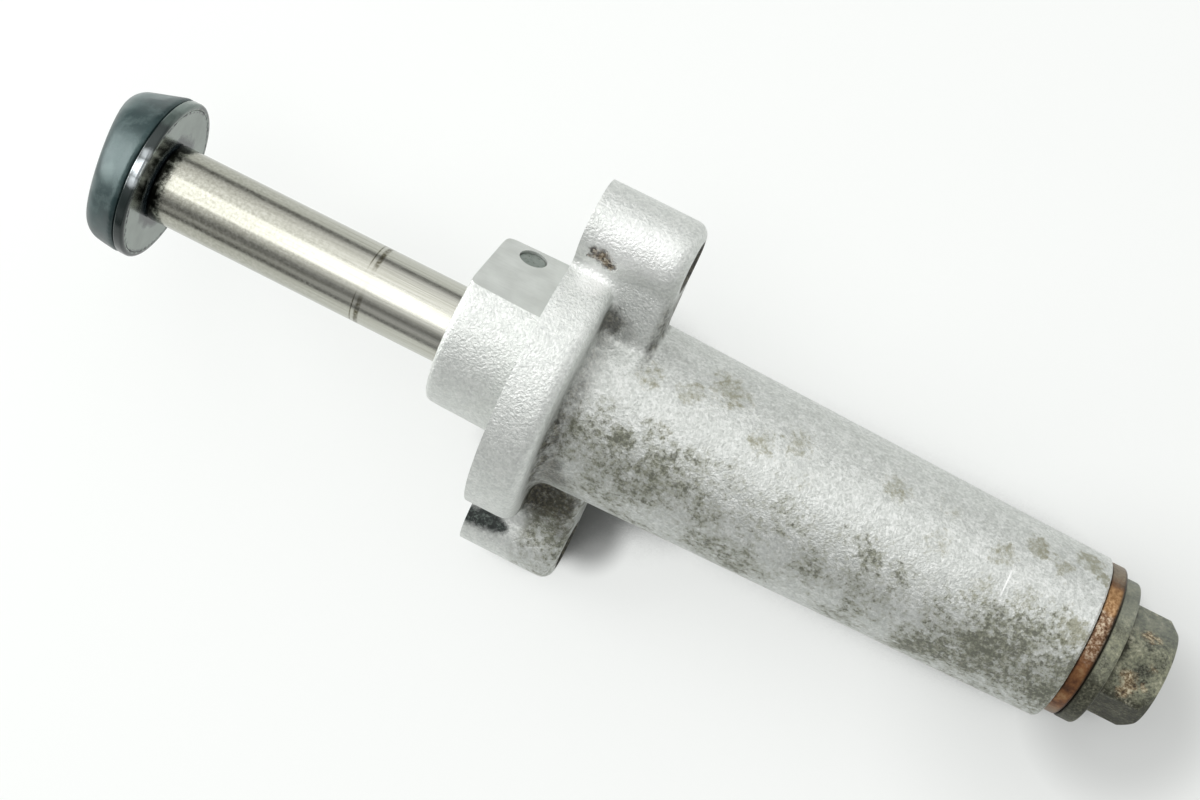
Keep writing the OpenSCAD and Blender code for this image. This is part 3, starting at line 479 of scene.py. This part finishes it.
def zinc_plated_steel():
    """Old zinc plating: dull olive grey, rusty cream spots, pitted, with painted shade in its corners and
    below.
    """
    made, tree, place = new_finish("zinc_plated_steel")
    blotch = add(tree, "TexNoise", {"Vector": place, "Scale": 1 / 2.6, "Detail": 5.0, "Roughness": 0.68})
    pit = add(tree, "TexNoise", {"Vector": place, "Scale": 1 / 0.5, "Detail": 4.0, "Roughness": 0.75})
    ragged = warped(tree, place, 1.1, 2.6)
    tone = add(tree, "Math", {0: pit, 1: blotch}, operation="ADD")
    tone = add(tree, "Math", {0: tone, 1: 0.72, 2: -0.22}, operation="MULTIPLY_ADD")
    colour = add(tree, "ValToRGB", {"Fac": tone}, stops=[
        (0.36, "#38392f"), (0.46, "#686a5b"), (0.54, "#838570"), (0.62, "#9d9d87"), (0.72, "#c4c2ad")])
    # Fine bright scratches and nicks, about 0.3 mm
    nick = add(tree, "TexNoise", {"Vector": place, "Scale": 1 / 0.28, "Detail": 3.0, "Roughness": 0.7})
    nick = add(tree, "MapRange", {"Value": nick, "From Min": 0.58, "From Max": 0.7, "To Max": 0.5})
    colour = add(tree, "Mix", {0: nick, 6: colour, 7: linear("#bdbdac")}, out=2, data_type="RGBA")
    # The collar is rubbed paler, top faces are greyer, the underside is darkened by painted shade
    girth = axis_distance(tree, place)
    collar = add(tree, "MapRange", {"Value": girth, "From Min": 9.6, "From Max": 10.3, "To Max": 0.36})
    collar = add(tree, "Math", {0: collar, 1: pit}, operation="MULTIPLY")
    colour = add(tree, "Mix", {0: collar, 6: colour, 7: linear("#a3a48f")}, out=2, data_type="RGBA")
    level = add(tree, "VectorMath", {0: place, 1: RISING}, out="Value", operation="DOT_PRODUCT")
    grey = add(tree, "MapRange", {"Value": level, "From Min": 3.5, "From Max": 6.0, "To Max": 0.5})
    colour = add(tree, "Mix", {0: grey, 6: colour, 7: linear("#81857d")}, out=2, data_type="RGBA")
    painted_hex_shade = add(tree, "MapRange", {"Value": level, "From Min": -2.8, "From Max": -4.2, "To Max": 0.9})
    flecked = add(tree, "MapRange", {
        "Value": pit, "From Min": 0.4, "From Max": 0.7, "To Min": 1.0, "To Max": 0.5})
    painted_hex_shade = add(tree, "Math", {0: painted_hex_shade, 1: flecked}, operation="MULTIPLY")
    # Painted shade at the hexagon's foot and along the collar's edge beside the washer
    joint = stain(tree, ragged, [
        (87.1, -6.5, 4.6, 1.3, 0.9), (87.1, -8.0, 1.0, 1.4, 0.8), (87.1, -6.8, -4.0, 1.6, 0.9)])
    along = add(tree, "SeparateXYZ", {0: place}, out="X")
    seam = add(tree, "MapRange", {"Value": along, "From Min": 84.95, "From Max": 84.7})
    # Painted shade in the corner where the hexagon stands on the collar
    root = add(tree, "Math", {0: blotch, 1: 2.0, 2: along}, operation="MULTIPLY_ADD")
    root = add(tree, "MapRange", {"Value": root, "From Min": 89.5, "From Max": 88.7, "To Max": 0.85})
    within = add(tree, "MapRange", {"Value": girth, "From Min": 9.4, "From Max": 8.6})
    root = add(tree, "Math", {0: root, 1: within}, operation="MULTIPLY")
    for part in (joint, seam, root):
        painted_hex_shade = add(tree, "Math", {0: painted_hex_shade, 1: part}, operation="MAXIMUM")
    colour = add(tree, "Mix", {0: painted_hex_shade, 6: colour, 7: linear("#2a291c")}, out=2, data_type="RGBA")
    crust = stain(tree, ragged, [
        (90.4, -2.0, 6.9, 1.1, 0.95), (91.6, -1.8, 6.9, 0.7, 0.8), (90.0, -6.6, 2.5, 1.2, 0.95),
        (90.6, -7.0, 1.6, 1.0, 0.9), (90.2, -7.4, 0.8, 1.0, 0.9), (92.3, -6.7, 2.2, 0.6, 0.7),
        (92.3, -5.6, 4.6, 0.5, 0.5)])
    rust = add(tree, "ValToRGB", {"Fac": pit}, stops=[
        (0.38, "#3f2f20"), (0.5, "#867457"), (0.62, "#d3c9ae")])
    colour = add(tree, "Mix", {0: crust, 6: colour, 7: rust}, out=2, data_type="RGBA")
    # Corners of the hexagon scuffed pale by the wrench
    corner = add(tree, "MapRange", {"Value": girth, "From Min": 7.65, "From Max": 7.9})
    head = add(tree, "MapRange", {"Value": along, "From Min": 87.4, "From Max": 87.8})
    bright_patch = add(tree, "MapRange", {"Value": pit, "From Min": 0.5, "From Max": 0.62, "To Max": 0.8})
    some = add(tree, "MapRange", {"Value": blotch, "From Min": 0.42, "From Max": 0.58})
    for limit in (some, head, corner):
        bright_patch = add(tree, "Math", {0: bright_patch, 1: limit}, operation="MULTIPLY")
    colour = add(tree, "Mix", {0: bright_patch, 6: colour, 7: linear("#b3b1a0")}, out=2, data_type="RGBA")
    rough = add(tree, "MapRange", {
        "Value": pit, "From Min": 0.3, "From Max": 0.7, "To Min": 0.4, "To Max": 0.7})
    height = add(tree, "Math", {0: blotch, 1: 0.8, 2: pit}, operation="MULTIPLY_ADD")
    bump = add(tree, "Bump", {"Height": height, "Strength": 1.0, "Distance": 0.13 * MM})
    close_finish(tree, add(tree, "BsdfPrincipled", {
        "Base Color": colour, "Metallic": 0.55, "Roughness": rough, "Normal": bump}))
    return made


finish = {
    "cast_aluminium": cast_aluminium(),
    "machined_aluminium": machined_aluminium(),
    "polished_steel": polished_steel(),
    "blackened_steel": blackened_steel(),
    "black_rubber": black_rubber(),
    "ground_steel": plain_metal("ground_steel", ("#737b75", "#929994"), 0.3, 0.6),
    "bearing_steel": plain_metal("bearing_steel", ("#c6c8c8", "#d8dada"), 0.1, 0.5),
    "spring_steel": plain_metal("spring_steel", ("#5f6362", "#858988"), 0.3, 0.8),
    "brass": plain_metal("brass", ("#9c7c40", "#c09c58"), 0.28, 0.9),
    "copper": copper(),
    "zinc_plated_steel": zinc_plated_steel(),
}


def filleted(corners, steps=5):
    """Profile with round corners, from (x, radius, corner radius) in mm."""
    made = []
    for before, here, after in zip([None, *corners], corners, [*corners[1:], None]):
        spot = Vector(here[:2])
        if before is None or after is None or not here[2]:
            made.append(tuple(spot))
            continue
        back = (Vector(before[:2]) - spot).normalized()
        on = (Vector(after[:2]) - spot).normalized()
        half = back.angle(on) / 2
        centre = spot + (back + on).normalized() * here[2] / math.sin(half)
        start = spot + back * here[2] / math.tan(half) - centre
        end = spot + on * here[2] / math.tan(half) - centre
        for k in range(steps + 1):
            made.append(tuple(centre + start.lerp(end, k / steps).normalized() * here[2]))
    return made


def turned(skin, profile, sides=128, hollow=False, at=(0.0, 0.0)):
    """A ring drawn out along X through (x, radius) in mm, as on a lathe; a hollow one closes on itself."""
    bpy.ops.object.select_all(action="DESELECT")
    x, radius = profile[0]
    fill = "NOTHING" if hollow else "NGON"
    bpy.ops.mesh.primitive_circle_add(
        vertices=sides, radius=radius * MM, fill_type=fill,
        location=(x * MM, at[0] * MM, at[1] * MM), rotation=(0, QUARTER, 0))
    piece = bpy.context.object
    piece.data.materials.append(finish[skin])
    bpy.ops.object.transform_apply(location=True, rotation=True, scale=True)
    bpy.ops.object.mode_set(mode="EDIT")
    bpy.ops.mesh.select_all(action="SELECT")
    for next_x, next_radius in profile[1:] + (profile[:1] if hollow else []):
        bpy.ops.mesh.extrude_region_move(TRANSFORM_OT_translate={"value": ((next_x - x) * MM, 0, 0)})
        grow = next_radius / radius
        middle = (next_x * MM, at[0] * MM, at[1] * MM)
        bpy.ops.transform.resize(value=(1, grow, grow), center_override=middle)
        x, radius = next_x, next_radius
    bpy.ops.mesh.select_all(action="SELECT")
    bpy.ops.mesh.remove_doubles(threshold=0.001 * MM)
    bpy.ops.mesh.normals_make_consistent(inside=False)
    bpy.ops.object.mode_set(mode="OBJECT")
    return piece


def block(skin, low, high):
    """Box between two corners in mm."""
    bpy.ops.object.select_all(action="DESELECT")
    middle = [(a + b) / 2 * MM for a, b in zip(low, high)]
    bpy.ops.mesh.primitive_cube_add(size=1.0, location=middle)
    piece = bpy.context.object
    piece.data.materials.append(finish[skin])
    piece.scale = [(b - a) * MM for a, b in zip(low, high)]
    bpy.ops.object.transform_apply(location=True, rotation=True, scale=True)
    return piece


def upright(skin, radius, low, high, at):
    """Round bar along Z between two heights in mm."""
    bar = turned(skin, [(low, radius), (high, radius)], 96)
    bar.rotation_euler = (0, -QUARTER, 0)
    bar.location = (at[0] * MM, at[1] * MM, 0)
    bpy.ops.object.transform_apply(location=True, rotation=True, scale=True)
    return bar


def pick(piece):
    """Makes a piece the only one selected."""
    bpy.ops.object.select_all(action="DESELECT")
    bpy.context.view_layer.objects.active = piece
    piece.select_set(True)


def change(piece, kind, **settings):
    """Adds a modifier with its settings and applies it."""
    step = piece.modifiers.new(kind.lower(), kind)
    for name, value in settings.items():
        setattr(step, name, value)
    pick(piece)
    bpy.ops.object.modifier_apply(modifier=step.name)


def work(piece, tool, operation="DIFFERENCE"):
    """Cuts a piece with a tool body, or joins it on; the cut takes the tool's own finish."""
    change(piece, "BOOLEAN", object=tool, operation=operation, solver="EXACT", material_mode="TRANSFER")
    bpy.data.objects.remove(tool)


def bevel_edges(piece, test, width, segments=4):
    """Rounds the edges whose two ends pass a test."""
    pick(piece)
    bpy.ops.object.mode_set(mode="EDIT")
    bpy.ops.mesh.select_mode(type="EDGE")
    bpy.ops.mesh.select_all(action="DESELECT")
    bpy.ops.object.mode_set(mode="OBJECT")
    points = piece.data.vertices
    for edge in piece.data.edges:
        edge.select = test(*[points[i].co / MM for i in edge.vertices])
    bpy.ops.object.mode_set(mode="EDIT")
    bpy.ops.mesh.bevel(offset=width * MM, segments=segments, affect="EDGES")
    bpy.ops.object.mode_set(mode="OBJECT")


def settle(piece, name, node, body, angle=30):
    """Names a finished piece, smooths it, and sets it on its body in place of its CAD node."""
    piece.name = name
    piece.data.name = name
    pick(piece)
    bpy.ops.object.shade_smooth_by_angle(angle=math.radians(angle))
    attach(piece, body)
    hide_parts(node)
    return piece


def body_casting():
    """The casting is made as cast, with stock where the tools cut, then machined."""
    cast = "cast_aluminium"
    cut = "machined_aluminium"
    # Stock on the mounting face and length with the rear stock, flange, ears and spigot in mm
    stock, rough_end = 0.9, 83.2
    flange_x, flange_r = 7.0, 20.8
    ear_x, ear_r, ear_round, web_y = 14.4, 5.95, 1.8, 5.1
    spigot_x = -11.4
    flange = filleted([
        (-stock, flange_r, 0), (flange_x, flange_r, 1.7), (flange_x, 13.74, 2.2), (rough_end, 11.88, 0)])
    spigot = filleted([(spigot_x, 6.0, 0), (spigot_x, 12.65, 0.7), (2.0, 12.97, 0)])
    boss = filleted([(-stock, ear_r, 0), (ear_x, ear_r, ear_round), (ear_x, 2.0, 0)])
    casting = turned(cast, flange, 160)
    web = block(cast, (-stock, -web_y, -EAR_Z), (ear_x, web_y, EAR_Z))
    bevel_edges(web, lambda a, b: min(a.x, b.x) > 14.0 and abs(a.y - b.y) < 0.1, ear_round)
    parts = [web, turned(cast, spigot, 128, at=(0.0, SPIGOT_Z))]
    for side in (EAR_Z, -EAR_Z):
        parts.append(turned(cast, boss, 96, at=(0.0, side)))
    pick(casting)
    for part in parts:
        part.select_set(True)
    bpy.ops.object.join()
    # The mould's round corners and its slightly uneven skin
    change(casting, "REMESH", mode="VOXEL", voxel_size=0.42 * MM)
    change(casting, "SMOOTH", factor=0.5, iterations=9)
    skin = bpy.data.textures.new("cast_skin", "CLOUDS")
    skin.noise_scale = 2.2 * MM
    skin.noise_depth = 2
    change(casting, "DISPLACE", texture=skin, texture_coords="LOCAL", strength=0.04 * MM, mid_level=0.5)
    # The flat, the mounting face, the rear seat with its chamfer, the stepped bore, bolt holes and pin hole
    work(casting, block(cut, (-13.0, -16.0, FLAT_Z), (-0.06, 16.0, 22.0)))
    corner = [(-2.6, 12.84), (-2.6, 14.0), (0.0, 14.0), (0.0, 12.9)]
    work(casting, turned(cast, corner, 128, True, (0.0, SPIGOT_Z)))
    face = [(-7.0, 13.2), (-7.0, 45.0), (0.0, 45.0), (0.0, 13.2)]
    work(casting, turned(cut, face, 128, True, (0.0, SPIGOT_Z)))
    work(casting, turned(cut, [(BARREL_END, 30.0), (90.0, 30.0)]))
    chamfer = [(81.75, 12.05), (81.75, 14.0), (82.6, 14.0), (82.6, 11.2)]
    work(casting, turned(cast, chamfer, 128, True))
    bore = [
        (-13.0, 5.8), (14.0, 5.8), (14.0, 7.8), (42.4, 7.8), (42.4, 8.11), (54.0, 8.11), (54.0, 8.8),
        (55.3, 8.8), (55.3, 8.11), (69.0, 8.11), (69.0, 9.01), (84.0, 9.01)]
    work(casting, turned(cut, bore))
    for side in (EAR_Z, -EAR_Z):
        work(casting, turned(cast, [(-1.0, 3.3), (14.0, 3.3), (15.0, 4.3)], 64, at=(0.0, side)))
    work(casting, upright(cut, 2.02, -6.6, 14.0, PIN_AT))
    return settle(casting, "body_casting", "tensioner_body", "body", 35)


def rod_turning():
    """Rod with its riveted nose, chamfered ends, spring hole and key flat."""
    steel = "polished_steel"
    rod = turned(steel, [
        (-60.9, 3.6), (-60.8, 4.1), (-60.4, 4.2), (PLATE_FRONT, 4.2), (PLATE_FRONT, 3.0), (PLATE_BACK, 3.0),
        (PLATE_BACK, 5.4), (-57.95, 5.75), (9.4, 5.75), (10.0, 5.15), (10.0, 4.5), (51.5, 4.5),
        (52.0, 4.0)], 160)
    work(rod, turned(steel, [(-2.05, 3.0), (53.0, 3.0)], 96))
    work(rod, block(steel, (-37.55, 3.0, -8.0), (-4.45, 8.0, 8.0)))
    return settle(rod, "rod_turning", "push_rod", "rod")


def plate_disc():
    """Stamped disc with rounded edges and a fine groove inside its rim."""
    steel = "blackened_steel"
    disc = turned(steel, filleted([
        (PLATE_FRONT, 3.05, 0), (PLATE_FRONT, 11.9, 0.4), (PLATE_BACK, 11.9, 0.45), (PLATE_BACK, 11.15, 0),
        (-58.42, 11.05, 0), (PLATE_BACK, 10.95, 0), (PLATE_BACK, 3.05, 0)]), 160, True)
    return settle(disc, "plate_disc", "pad_plate", "rod")


def pad_moulding():
    """Rubber cushion: a round base and a slanted, domed front, with one smooth skin moulded over both."""
    rubber = "black_rubber"
    pad = turned(rubber, [(PLATE_FRONT, 11.7), (-60.1, 11.95), (-60.4, 11.95)], 160)
    # Round of the front's edge, radius inside it, rise of its dome and its slant in degrees
    edge, inner, dome, slant = 3.7, 7.45, 0.5, 14.0
    profile = [(edge, inner + edge)]
    for k in range(1, 13):
        swing = QUARTER * k / 12
        profile.append((edge - edge * math.sin(swing), inner + edge * math.cos(swing)))
    for share in (0.75, 0.5, 0.25, 0.04):
        profile.append((-dome * (1 - share * share), inner * share))
    front = turned(rubber, profile, 160)
    front.rotation_euler = (0, 0, math.radians(slant))
    front.location = Vector((-67.6, -0.6, -0.9)) * MM
    bpy.ops.object.transform_apply(location=True, rotation=True, scale=True)
    pick(pad)
    front.select_set(True)
    bpy.ops.object.join()
    bpy.ops.object.mode_set(mode="EDIT")
    bpy.ops.mesh.select_all(action="SELECT")
    bpy.ops.mesh.convex_hull(use_existing_faces=False)
    bpy.ops.object.mode_set(mode="OBJECT")
    change(pad, "REMESH", mode="VOXEL", voxel_size=0.3 * MM)
    change(pad, "SMOOTH", factor=0.5, iterations=6)
    work(pad, turned(rubber, [(-61.0, 4.25), (-59.0, 4.25)], 64))
    settle(pad, "pad_moulding", "rubber_pad", "rod", 40)
    return pad


def pin_dowel():
    """Ground dowel with rounded ends."""
    pin = upright("ground_steel", 2.0, -6.55, 12.15, PIN_AT)
    bevel_edges(pin, lambda a, b: abs(a.z - b.z) < 0.01, 0.25, 3)
    return settle(pin, "pin_dowel", "guide_pin", "body")


def washer_ring():
    """Copper ring, loose on the thread and so to one side, with its pressed edges."""
    hole, rim, aside = 9.6, 11.0, (0.3, 0.461)
    section = filleted([
        (BARREL_END, hole, 0), (BARREL_END, rim, 0.5), (COLLAR_X, rim, 0.5), (COLLAR_X, hole, 0)])
    ring = turned("copper", section, 160, True, aside)
    return settle(ring, "washer_ring", "sealing_washer", "body", 40)


def cap_bolt_forged():
    """Collared hexagon head with chamfered corners on a hollow threaded shank."""
    zinc = "zinc_plated_steel"
    bolt = turned(zinc, filleted([
        (70.0, 5.0, 0), (70.0, 8.0, 0), (71.0, 9.0, 0), (COLLAR_X, 9.0, 0), (COLLAR_X, 10.5, 0.3),
        (HEX_X, 10.5, 0.5), (HEX_X, 4.0, 0)]))
    head = turned(zinc, [(86.6, 8.03), (BOLT_END, 8.03)], 6)
    head.rotation_euler = (math.radians(3.0), 0, 0)
    bpy.ops.object.transform_apply(location=True, rotation=True, scale=True)
    work(head, turned(zinc, [(86.0, 9.03), (91.62, 9.03), (BOLT_END, 6.85)]), "INTERSECT")
    change(head, "BEVEL", width=0.18 * MM, segments=3, limit_method="ANGLE", angle_limit=math.radians(20))
    work(bolt, head, "UNION")
    work(bolt, turned(zinc, [(69.0, 5.0), (85.5, 5.0)], 96))
    return settle(bolt, "cap_bolt_forged", "cap_bolt", "body", 30)


def wound_spring(name, node, wire, ring, ends, turns):
    """Round wire wound about the rod's axis at an even pitch; sizes in mm."""
    bpy.ops.object.select_all(action="DESELECT")
    bpy.ops.mesh.primitive_circle_add(
        vertices=12, radius=wire / 2 * MM, location=((ends[0] + wire / 2) * MM, ring * MM, 0))
    spring = bpy.context.object
    spring.data.materials.append(finish["spring_steel"])
    bpy.ops.object.transform_apply(location=True, rotation=True, scale=True)
    pitch = (ends[1] - ends[0] - wire) / turns
    change(spring, "SCREW", axis="X", steps=24, render_steps=24, iterations=turns, screw_offset=pitch * MM)
    bpy.ops.object.mode_set(mode="EDIT")
    bpy.ops.mesh.select_all(action="SELECT")
    bpy.ops.mesh.remove_doubles(threshold=0.001 * MM)
    bpy.ops.mesh.fill_holes(sides=0)
    bpy.ops.mesh.normals_make_consistent(inside=False)
    bpy.ops.object.mode_set(mode="OBJECT")
    settle(spring, name, node, "body", 50)
    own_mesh(spring)
    return spring


body_casting()
rod_turning()
plate_disc()
pad_moulding()
pin_dowel()
washer_ring()
cap_bolt_forged()
wound_spring(
    "rod_spring_wound", "main_spring", wire=0.9, ring=2.4, ends=(-2.0, 83.95), turns=34)
wound_spring(
    "cage_spring_wound", "cage_spring", wire=1.1, ring=6.95, ends=(14.05, 40.35), turns=8)

slot_of = {s["node"]: s["material_slot"] for s in frame["record"]["subparts"]}
for name, node in frame["nodes"].items():
    node.data.materials.clear()
    node.data.materials.append(finish[slot_of[name]])

# White table that the tensioner lies on, seen from its upper side only
table_up = Vector((-0.1163, -0.8186, 0.5625)).normalized()
bpy.ops.object.select_all(action="DESELECT")
bpy.ops.mesh.primitive_plane_add(size=3.0)
table = bpy.context.object
table.name = "table"
table_drop = -21.4
table_turn = table_up.to_track_quat("Z", "Y").to_matrix().to_4x4()
table.matrix_world = Matrix.Translation(table_up * table_drop * MM) @ table_turn
table_paint = bpy.data.materials.new("white_table_paint")
table_paint.use_nodes = True
tree = table_paint.node_tree
tree.nodes.clear()
paint = add(tree, "BsdfDiffuse", {"Color": linear("#f3f5f3")})
# Soft shadow under the part, deeper beside the bolt and under the lower ear
lamp_side = (backward + 0.9 * upward + 0.1 * across).normalized()
shelter = add(tree, "AmbientOcclusion", {"Distance": 0.017, "Normal": lamp_side}, out="AO", samples=16)
shelter = add(tree, "MapRange", {"Value": shelter, "From Min": 0.44, "From Max": 0.582})
spot = add(tree, "NewGeometry", out="Position")
spot = add(tree, "VectorMath", {0: spot, "Scale": 1000.0}, operation="SCALE")
pool = stain(tree, spot, [
    (95.0, 5.0, -11.0, 15.0, 0.42), (93.6, 4.7, -11.9, 28.0, 0.15), (16.5, 6.0, -26.0, 5.1, 0.72)])
pool = add(tree, "Math", {0: 1.0, 1: pool}, operation="SUBTRACT")
shelter = add(tree, "Math", {0: shelter, 1: pool}, operation="MULTIPLY")
bright = add(tree, "Emission", {"Color": linear("#f6f8f6"), "Strength": shelter})
straight = add(tree, "LightPath", out="Is Camera Ray")
mirrored = add(tree, "LightPath", out="Is Glossy Ray")
shown = add(tree, "Math", {0: straight, 1: mirrored}, operation="MAXIMUM")
shown = add(tree, "Math", {0: shown, 1: 0.7}, operation="MULTIPLY")
paint = add(tree, "MixShader", {0: shown, 1: paint, 2: bright})
clear = add(tree, "BsdfTransparent")
under = add(tree, "NewGeometry", out="Backfacing")
close_finish(tree, add(tree, "MixShader", {0: under, 1: paint, 2: clear}))
table.data.materials.append(table_paint)

# Soft studio: bright overhead, darker towards the edge of the table, by the angle about the rod's axis
world = bpy.data.worlds.new("soft_studio")
bpy.context.scene.world = world
world.use_nodes = True
tree = world.node_tree
tree.nodes.clear()
way = add(tree, "TexCoord", out="Generated")
facing = add(tree, "VectorMath", {0: way, 1: FACING}, out="Value", operation="DOT_PRODUCT")
rising = add(tree, "VectorMath", {0: way, 1: RISING}, out="Value", operation="DOT_PRODUCT")
angle = add(tree, "Math", {0: rising, 1: facing}, operation="ARCTAN2")
share = add(tree, "MapRange", {"Value": angle, "From Min": -math.pi, "From Max": math.pi})
glow = add(tree, "ValToRGB", {"Fac": share}, stops=[
    (0.245, 0.15), (0.27, 0.2), (0.298, 0.62), (0.312, 0.6), (0.335, 0.26), (0.37, 0.26), (0.40, 0.8),
    (0.435, 1.2), (0.455, 0.95), (0.47, 0.5), (0.54, 0.5), (0.56, 0.9), (0.575, 1.45), (0.60, 1.6),
    (0.63, 1.45), (0.665, 1.2), (0.70, 0.95), (0.725, 0.35), (0.75, 0.15)])
seen = add(tree, "LightPath", out="Is Camera Ray")
mirrored = add(tree, "LightPath", out="Is Glossy Ray")
soft = add(tree, "MapRange", {
    "Value": rising, "From Min": 0.3, "From Max": 0.95, "To Min": 0.68, "To Max": 1.25})
level = add(tree, "MapRange", {"Value": mirrored, "To Min": soft, "To Max": 1.0})
light = add(tree, "Background", {"Color": glow, "Strength": level})
white = add(tree, "Background", {"Color": (1, 1, 1, 1), "Strength": 1.0})
both = add(tree, "MixShader", {0: seen, 1: light, 2: white})
end = tree.nodes.new("ShaderNodeOutputWorld")
tree.links.new(both, end.inputs["Surface"])

# A large softbox above the camera and a small one left of the pad: metres wide, watts, way, metres away
for name, size, watts, way, distance in (
        ("overhead_softbox", 0.5, 1.6, backward + 0.22 * upward - 0.35 * across, 0.7),
        ("side_softbox", 0.3, 1.9, Vector((-0.965, -0.22, 0.12)), 0.5)):
    lamp_data = bpy.data.lights.new(name, "AREA")
    lamp_data.shape = "SQUARE"
    lamp_data.size = size
    lamp_data.energy = watts
    lamp = bpy.data.objects.new(name, lamp_data)
    bpy.context.scene.collection.objects.link(lamp)
    way = way.normalized()
    lamp_turn = way.to_track_quat("Z", "Y").to_matrix().to_4x4()
    lamp.matrix_world = Matrix.Translation(way * distance) @ lamp_turn
